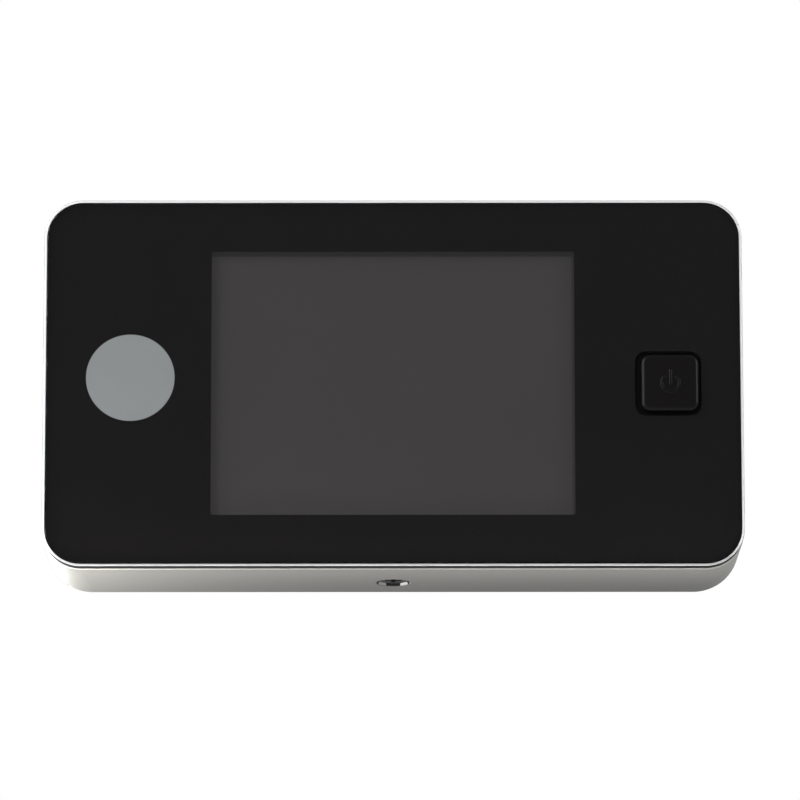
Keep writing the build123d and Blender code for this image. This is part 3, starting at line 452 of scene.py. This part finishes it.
# Lens: a domed wide-angle lens in a black cell behind the flange's mouth, with a black ring
# glued round it. The image sensor's round board at the rear is finished with the main board.
lens_black = Finish("lens_black")
anodised = lens_black.noise(0.6 * mm)
lens_black.paint({
    "Base Color": lens_black.mix(anodised, srgb(16, 16, 18), srgb(30, 30, 32)),
    "Roughness": 0.34 + anodised * 0.14,
})
lens_black.cover("lens_cell", "lens_ring")
lens_middle, lens_rim = 0.8 * mm, 4.2 * mm
lens_glass = Finish("lens_glass", {"Roughness": 0.02, "Coat Weight": 1.0, "Coat Roughness": 0.0})
x, _, z = lens_glass.axes()
from_axis = lens_glass.math("SQRT", x * x + z * z)
# Painted sheen: the purple of the lens's coating is painted in its middle, fading to dark blue at
# its rim.
outside_painted_sheen = from_axis.above(lens_middle, lens_rim)
lens_glass.paint({"Base Color": lens_glass.mix(outside_painted_sheen, srgb(38, 30, 66), srgb(12, 14, 24))})
lens_glass.cover("front_lens")

# Rear housing and battery covers: ABS with a grey satin lacquer over the fine even grain of a
# spark-eroded mould, with a painted highlight along the front edge. The mouth of the lock screw's
# hole is painted near black as a painted shade, with two painted highlights at its rear.
housing_plastic = Finish("housing_plastic", {"IOR": 1.18})
grain = housing_plastic.noise(0.16 * mm)
flow = housing_plastic.noise(14 * mm)
x, y, z = housing_plastic.axes()
housing_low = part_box("rear_housing")[0]
lock_low, lock_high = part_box("lock_screw")
lock_x = (lock_low.x + lock_high.x) / 2
lock_y = (lock_low.y + lock_high.y) / 2
mouth_radius = 3.25 * mm
mouth_start = housing_low.z + 0.03 * mm
mouth_end = housing_low.z + 1.0 * mm
patch_start, patch_end = 1.2 * mm, 2.7 * mm
edge_fade = 0.9 * mm
fine = 0.1 * mm
across = abs(x - lock_x)
along = y - lock_y
from_lock = housing_plastic.math("SQRT", across * across + along * along)
# Painted shade: the mouth of the lock screw's hole is painted near black.
painted_mouth_shade = (
    (1 - from_lock.above(mouth_radius, mouth_radius + fine))
    * z.above(mouth_start, mouth_start + fine)
    * (1 - z.above(mouth_end, mouth_end + fine))
)
# Painted highlights: two patches at the rear of the mouth, lighter on the right.
painted_highlight_patch = (
    along.above(patch_start, patch_start + fine)
    * across.above(patch_start, patch_start + 2 * fine)
    * (1 - across.above(patch_end - fine, patch_end))
)
# Painted highlight: the lacquer is lighter within edge_fade of the housing's front edge.
painted_edge_highlight = 1 - y.above(housing_low.y, housing_low.y + edge_fade)
lacquered = housing_plastic.mix(flow, srgb(97, 96, 92), srgb(103, 102, 98))
lacquered = housing_plastic.mix(painted_edge_highlight, lacquered, srgb(146, 144, 139))
brighter_highlight_right = (x - lock_x).above(-fine, fine)
painted_highlight_colour = housing_plastic.mix(brighter_highlight_right, srgb(150, 149, 149), srgb(188, 187, 183))
mouth_shade_and_highlights = housing_plastic.mix(painted_highlight_patch, srgb(26, 26, 24), painted_highlight_colour)
housing_plastic.paint({
    "Base Color": housing_plastic.mix(painted_mouth_shade, lacquered, mouth_shade_and_highlights),
    "Roughness": 0.34 + flow * 0.10,
    "Normal": housing_plastic.bump(grain, 0.008 * mm, strength=0.6),
})
housing_plastic.cover("rear_housing", "battery_cover_left", "battery_cover_right")

# Screws: cross recessed steel. Four pull the frame onto the housing and four hold the board, all
# zinc plated. The lock screw, sunk in the lower side, is painted black as a painted shade for its
# hole.
screw_steel = Finish("screw_steel", {"Metallic": 1.0})
zinc = screw_steel.noise(0.5 * mm, detail=3.0)
screw_steel.paint({
    "Base Color": screw_steel.mix(zinc, srgb(150, 150, 152), srgb(180, 180, 180)),
    "Roughness": 0.26 + zinc * 0.18,
})
screw_steel.cover("housing_screws", "board_screws")
# Painted shade: the lock screw is painted near black so that its hole reads dark.
lock_black = Finish("lock_black", {"Metallic": 0.2, "IOR": 1.3})
shade_cloud = lock_black.noise(0.5 * mm, detail=3.0)
lock_black.paint({
    "Base Color": lock_black.mix(shade_cloud, srgb(14, 14, 13), srgb(24, 24, 22)),
    "Roughness": 0.45 + shade_cloud * 0.15,
})
lock_black.cover("lock_screw")

# Battery cells: steel cans in a shrunk plain jacket, blue with a grey band at each end, with the
# plated cap and base left bare.
cell_jacket = Finish("cell_jacket")
z = cell_jacket.axes()[2]
cell_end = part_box("battery_cell_1")[1].z
jacket_end = cell_end - 2.2 * mm
band_start = cell_end - 9.1 * mm
plated = abs(z).above(jacket_end, jacket_end + fine)
scuff = cell_jacket.noise(4 * mm, detail=4.0)
band = abs(z).above(band_start, band_start + fine)
jacket = cell_jacket.mix(band, srgb(52, 66, 92), srgb(176, 178, 182))
cell_jacket.paint({
    "Base Color": cell_jacket.mix(plated, jacket, srgb(190, 188, 184)),
    "Metallic": plated,
    "Roughness": 0.28 + scuff * 0.14,
})
cell_jacket.cover(*(f"battery_cell_{number}" for number in range(1, 5)))

# Battery contacts: nickel-plated spring strip, stamped and bent, standing against the ends of
# the battery bays.
contact_nickel = Finish("contact_nickel", {"Metallic": 1.0})
rolled = contact_nickel.noise(0.2 * mm, stretch=(0.1, 1, 1))
contact_nickel.paint({
    "Base Color": contact_nickel.mix(rolled, srgb(190, 186, 176), srgb(206, 203, 194)),
    "Roughness": 0.22 + rolled * 0.12,
})
contact_nickel.cover(
    "upper_contact_left", "upper_contact_right", "lower_contacts_left", "lower_contacts_right"
)

# Circuit boards: green solder mask on glass fibre, screwed down inside the housing and set
# behind the lens. Chips, coils, capacitors and the switch are black, connectors natural nylon.
board_green = Finish("board_green", {"Coat Weight": 0.6, "Coat Roughness": 0.15})
weave = board_green.noise(0.5 * mm, stretch=(1, 1, 0.3))
board_green.paint({
    "Base Color": board_green.mix(weave, srgb(18, 82, 44), srgb(26, 100, 54)),
    "Roughness": 0.36 + weave * 0.1,
})
board_green.cover("main_board", "sensor_board")
chip_black = Finish("chip_black")
epoxy = chip_black.noise(0.12 * mm)
chip_black.paint({
    "Base Color": chip_black.mix(epoxy, srgb(30, 30, 32), srgb(44, 44, 46)),
    "Roughness": 0.5 + epoxy * 0.1,
})
chip_black.cover("board_components", "button_switch", "switch_plunger", "sensor_chip")
connector_plastic = Finish("connector_plastic", {"Roughness": 0.45})
nylon = connector_plastic.noise(1.5 * mm)
connector_plastic.paint({
    "Base Color": connector_plastic.mix(nylon, srgb(214, 208, 190), srgb(226, 220, 204)),
})
connector_plastic.cover("camera_socket", "flex_connector")

# Display: glass with a dark polariser over the active area, inside a black border, with a painted
# glow that makes half its grey and evens out its shade. A pressed steel tray behind it holds the
# backlight, and an amber flex runs to the board.
flex_amber = Finish("flex_amber", {"Roughness": 0.3, "Coat Weight": 0.5})
traces = flex_amber.noise(0.5 * mm, detail=1.0, stretch=(0.05, 0.05, 1))
flex_amber.paint({"Base Color": flex_amber.mix(traces, srgb(168, 96, 30), srgb(196, 124, 48))})
flex_amber.cover("lcd_flex")
tray_steel = Finish("tray_steel", {"Metallic": 1.0})
pressed = tray_steel.noise(1.2 * mm)
tray_steel.paint({
    "Base Color": tray_steel.mix(pressed, srgb(176, 176, 176), srgb(196, 196, 196)),
    "Roughness": 0.3 + pressed * 0.15,
})
tray_steel.cover("lcd_backlight")
# Painted glow: half the screen's grey is emitted rather than lit.
painted_glow_share = 0.5
display_glass = Finish("display_glass", {"IOR": 1.15, "Emission Strength": painted_glow_share})
x, _, z = display_glass.axes()
active_left = -33.2 * mm
active_right = 32.5 * mm
active_top = 24.1 * mm
active_bottom = -25.2 * mm
active_edge = 0.05 * mm
inside = (
    x.above(active_left, active_left + active_edge)
    * (1 - x.above(active_right, active_right + active_edge))
    * z.above(active_bottom, active_bottom + active_edge)
    * (1 - z.above(active_top, active_top + active_edge))
)
haze = display_glass.noise(30 * mm, detail=1.0)
active_colour = display_glass.mix(haze, srgb(59, 57, 58), srgb(62, 60, 61))
shown = display_glass.mix(inside, srgb(48, 46, 47), active_colour)
display_glass.paint({
    "Base Color": display_glass.mix(painted_glow_share, shown, black),
    "Emission Color": shown,
    "Roughness": 0.45 + haze * 0.1,
})
display_glass.cover("lcd_glass")

# Front frame: black ABS inside, with a bright lacquer on the lip that stands round the panel. The
# groove behind the lip is painted near black as a painted shade, and the lip is painted greyer
# along its lower side as a painted shade.
lacquer_depth = 0.03 * mm
lip_turn_start = -33.4 * mm
lip_turn_end = -29.0 * mm
rim_silver = Finish("rim_silver", {"IOR": 1.12})
_, y, z = rim_silver.axes()
lacquer_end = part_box("front_frame")[0].y + lacquer_depth
# Painted shade: behind the lacquered front of the lip, the groove is painted near black, as is the
# frame's black inside.
black_inside_and_groove_shade = y.above(lacquer_end, lacquer_end + lacquer_depth)
lacquer = rim_silver.noise(2.0 * mm)
# Painted shade: the lip's lower side is painted greyer than its bright lacquer.
lip_painted_shade = rim_silver.mix(lacquer, srgb(182, 181, 182), srgb(190, 189, 190))
lip_high = rim_silver.mix(lacquer, srgb(246, 246, 247), srgb(252, 252, 253))
lip_colour = rim_silver.mix(z.above(lip_turn_start, lip_turn_end), lip_painted_shade, lip_high)
rim_silver.paint({
    "Base Color": rim_silver.mix(black_inside_and_groove_shade, lip_colour, srgb(15, 15, 15)),
    "Roughness": 0.28 + lacquer * 0.08 + black_inside_and_groove_shade * 0.25,
    "Metallic": 0.3 - black_inside_and_groove_shade * 0.3,
})
rim_silver.cover("front_frame")

# Panel print: a flat black print that is bonded to the back of the panel, round the window, so
# that no gloss of its own is seen.
film_black = Finish("film_black", {"Roughness": 0.6, "IOR": 1.0})
print_cloud = film_black.noise(18 * mm)
film_black.paint({"Base Color": film_black.mix(print_cloud, srgb(14, 12, 13), srgb(17, 15, 16))})
film_black.cover("panel_film")

# Clear panel: cast acrylic with a polished front and bevelled edges, on the printed sheet inside
# the rim, with a square hole for the button. The print and the display show through it, and its
# front mirrors more where it is seen at a low angle.


def rounded(half_x, half_z, corner, centre=(0, 0), steps=20):
    """A closed outline of four quarter arcs, joined by straight sides, as (x, z) points:
    (half - corner) sign + corner (cos a, sin a)."""
    turn = np.linspace(0, math.pi / 2, steps)
    quarters = (np.arange(4) * math.pi / 2)[:, None]
    angle = quarters + turn
    sign_x = np.sign(np.cos(quarters + math.pi / 4))
    sign_z = np.sign(np.sin(quarters + math.pi / 4))
    x = centre[0] + sign_x * (half_x - corner) + corner * np.cos(angle)
    z = centre[1] + sign_z * (half_z - corner) + corner * np.sin(angle)
    return np.stack([x.ravel(), z.ravel()], axis=-1)


def stacked(rings):
    """Rows of 3-D points from (outline, y) pairs."""
    return np.array([
        np.stack([outline[:, 0], np.full(len(outline), y), outline[:, 1]], axis=-1)
        for outline, y in rings
    ])


panel_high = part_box("front_panel")[1]
panel_air = 0.02 * mm
panel_back = panel_high.y - panel_air
panel_corner = 6.5 * mm
panel_edge = 0.2 * mm
panel_edge_steps = 6
panel_hole_half = 5.9 * mm
panel_hole_corner = 2.0 * mm
panel_crease = 60
straight_gloss = 0.04
gloss_start = panel_front + 0.002 * mm
gloss_end = panel_front + 0.02 * mm
cap_low, cap_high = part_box("power_button")
button_x = (cap_low.x + cap_high.x) / 2
button_z = (cap_low.z + cap_high.z) / 2


def hole_ring(grow):
    """The hole's outline, larger on all sides by grow."""
    half = panel_hole_half + grow
    return rounded(half, half, panel_hole_corner + grow, (button_x, button_z))


def rim_ring(shrink):
    """The panel's outline, smaller on all sides by shrink."""
    return rounded(panel_high.x - shrink, panel_high.z - shrink, panel_corner - shrink)


def panel_points():
    """Rings from the back of the hole, out over its bevel, across the front and back over the
    outer bevel. A bevel is a quarter arc: edge (1 - cos t) out and edge (1 - sin t) back."""
    turns = np.linspace(0, math.pi / 2, panel_edge_steps)
    hole_edge = [
        (hole_ring(panel_edge * (1 - math.cos(t))), panel_front + panel_edge * (1 - math.sin(t)))
        for t in turns
    ]
    outer_edge = [
        (rim_ring(panel_edge * (1 - math.sin(t))), panel_front + panel_edge * (1 - math.cos(t)))
        for t in turns
    ]
    return stacked([
        (hole_ring(0), panel_back), *hole_edge, *outer_edge, (rim_ring(0), panel_back)
    ])


panel_clear = Finish("panel_clear", {"Metallic": 1.0, "Roughness": 0.06, "Base Color": white})
y = panel_clear.axes()[1]
edge_on = panel_clear.node("ShaderNodeLayerWeight", None, {"Blend": 0.5}, "Facing")
bevelled = y.above(gloss_start, gloss_end)
gloss = (straight_gloss + (1 - straight_gloss) * edge_on ** 5) * (1 - bevelled)
panel_clear.see_through(gloss)
clear_panel = surface(
    "clear_panel", panel_points(), "monitor", panel_clear, angle=panel_crease
)
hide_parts("front_panel")

# Badge disc: a bare grey disc, printed on the back of the panel at its left and bonded to it,
# in front of the black print.
badge_x = -47.73 * mm
badge_z = 1.07 * mm
badge_radius = 8.05 * mm
badge_lift = 0.03 * mm
badge_bevel = 0.01 * mm
badge_columns = 128
badge_grey = Finish("badge_grey", {"Roughness": 0.5, "IOR": 1.0})
badge_cloud = badge_grey.noise(6 * mm)
badge_grey.paint({
    "Base Color": badge_grey.mix(badge_cloud, srgb(139, 143, 144), srgb(144, 148, 149)),
})


def turned(outline, columns, centre):
    """An outline of (radius, y) points turned about an axis along Y through centre (x, z):
    x = radius sin(angle), z = radius cos(angle)."""
    angle = np.linspace(0, 2 * math.pi, columns, endpoint=False)[None, :]
    radius = outline[:, 0][:, None]
    y = np.broadcast_to(outline[:, 1][:, None], (len(outline), columns))
    return np.stack(
        [centre[0] + radius * np.sin(angle), y, centre[1] + radius * np.cos(angle)], axis=-1
    )


film_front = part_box("panel_film")[0].y
badge_outline = np.array([
    (badge_radius, film_front),
    (badge_radius, film_front - badge_lift + badge_bevel),
    (badge_radius - badge_bevel, film_front - badge_lift),
])
badge_points = turned(badge_outline, badge_columns, (badge_x, badge_z))
surface("badge_disc", badge_points, "monitor", badge_grey, wrap=False)

# Push button: a square cap moulded in satin black, with the on/off sign raised on its face, a
# little to the right of its flange, which lies behind the panel and keeps it in.
button_black = Finish("button_black", {"IOR": 1.22})
satin = button_black.noise(0.2 * mm)
y = button_black.axes()[1]
# Painted shade: below the panel's front, the cap's sides and flange are painted darker.
sunk_start = panel_front + 0.1 * mm
sunk_end = panel_front + 0.6 * mm
painted_well_shade = y.above(sunk_start, sunk_end)
cap_face = button_black.mix(satin, srgb(16, 14, 15), srgb(19, 17, 18))
button_black.paint({
    "Base Color": button_black.mix(painted_well_shade, cap_face, srgb(4, 4, 4)),
    "Roughness": 0.30 + satin * 0.1,
    "Normal": button_black.bump(satin, 0.003 * mm, strength=0.5),
})
cap_half = 5.2 * mm
cap_shift = 0.3 * mm
cap_corner = 1.6 * mm
cap_edge = 0.7 * mm
cap_edge_steps = 10
flange_thickness = 0.7 * mm
flange_half = (cap_high.x - cap_low.x) / 2
flange_corner = 2.0 * mm
sign_height = 0.14 * mm
sign_radius = 1.6 * mm
sign_stroke = 0.27 * mm
sign_gap = math.radians(44)
sign_bar = (-0.1 * mm, 2.35 * mm)
sign_offset = (0.1 * mm, -0.15 * mm)
sign_field = 3.0 * mm
first_ring = 0.02 * mm
button_columns = 256
sign_rings = 72
face_rings = 14


def square_reach(angle, half, corner):
    """Distance from the middle of a rounded square to its edge, along an angle: half / cos on a
    straight side, and the far crossing with the corner's circle on a corner."""
    c = np.maximum(np.abs(np.cos(angle)), np.abs(np.sin(angle)))
    s = np.minimum(np.abs(np.cos(angle)), np.abs(np.sin(angle)))
    middle = half - corner
    along = middle * (c + s)
    on_corner = along + np.sqrt(np.clip(corner**2 + along**2 - 2 * middle**2, 0, None))
    return np.where(half * s <= middle * c, half / c, on_corner)


def sign_relief(x, z):
    """Height of the sign: height (1 - (distance / stroke)^4) near its lines, which are a ring that
    is open at the top and a bar from the ring's middle up through the gap."""
    x = x - sign_offset[0]
    z = z - sign_offset[1]
    radius = np.hypot(x, z)
    past_end = np.maximum(sign_gap - np.abs(np.arctan2(x, z)), 0) * radius
    ring = np.hypot(radius - sign_radius, past_end)
    bar = np.hypot(x, z - np.clip(z, *sign_bar))
    near = np.minimum(ring, bar) / sign_stroke
    return sign_height * np.clip(1 - near**4, 0, 1)


def button_points():
    """Rings from the middle of the face outwards, over the rounded edge, down the side and round
    the flange. The rings of the face turn from circles to rounded squares: a ring of share t
    lies at field + t (edge - field)."""
    angle = np.linspace(0, 2 * math.pi, button_columns, endpoint=False)
    face_level = cap_low.y + sign_height
    inner = np.linspace(first_ring, sign_field, sign_rings)[:, None] * np.ones(button_columns)
    edge = square_reach(angle, cap_half - cap_edge, cap_corner - cap_edge)
    outer = sign_field + (edge - sign_field) * np.linspace(0, 1, face_rings)[1:, None]
    face = np.vstack([inner, outer])
    relief = sign_relief(face * np.sin(angle), face * np.cos(angle))
    rings = [(reach, face_level - height, cap_shift) for reach, height in zip(face, relief)]
    for turn in np.linspace(0, math.pi / 2, cap_edge_steps)[1:]:
        inset = cap_edge * (1 - math.sin(turn))
        reach = square_reach(angle, cap_half - inset, cap_corner - inset)
        rings.append((reach, face_level + cap_edge * (1 - math.cos(turn)), cap_shift))
    flange_front = cap_high.y - flange_thickness
    flange = square_reach(angle, flange_half, flange_corner)
    rings.append((square_reach(angle, cap_half, cap_corner), flange_front, cap_shift))
    rings.append((flange, flange_front, 0))
    rings.append((flange, cap_high.y, 0))
    return np.array([
        np.stack(
            [
                button_x + shift + reach * np.sin(angle),
                level * np.ones(button_columns),
                button_z + reach * np.cos(angle),
            ],
            axis=-1,
        )
        for reach, level, shift in rings
    ])


cap = surface(
    "button_cap", button_points(), "power_button", button_black, wrap=False
)
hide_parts("power_button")
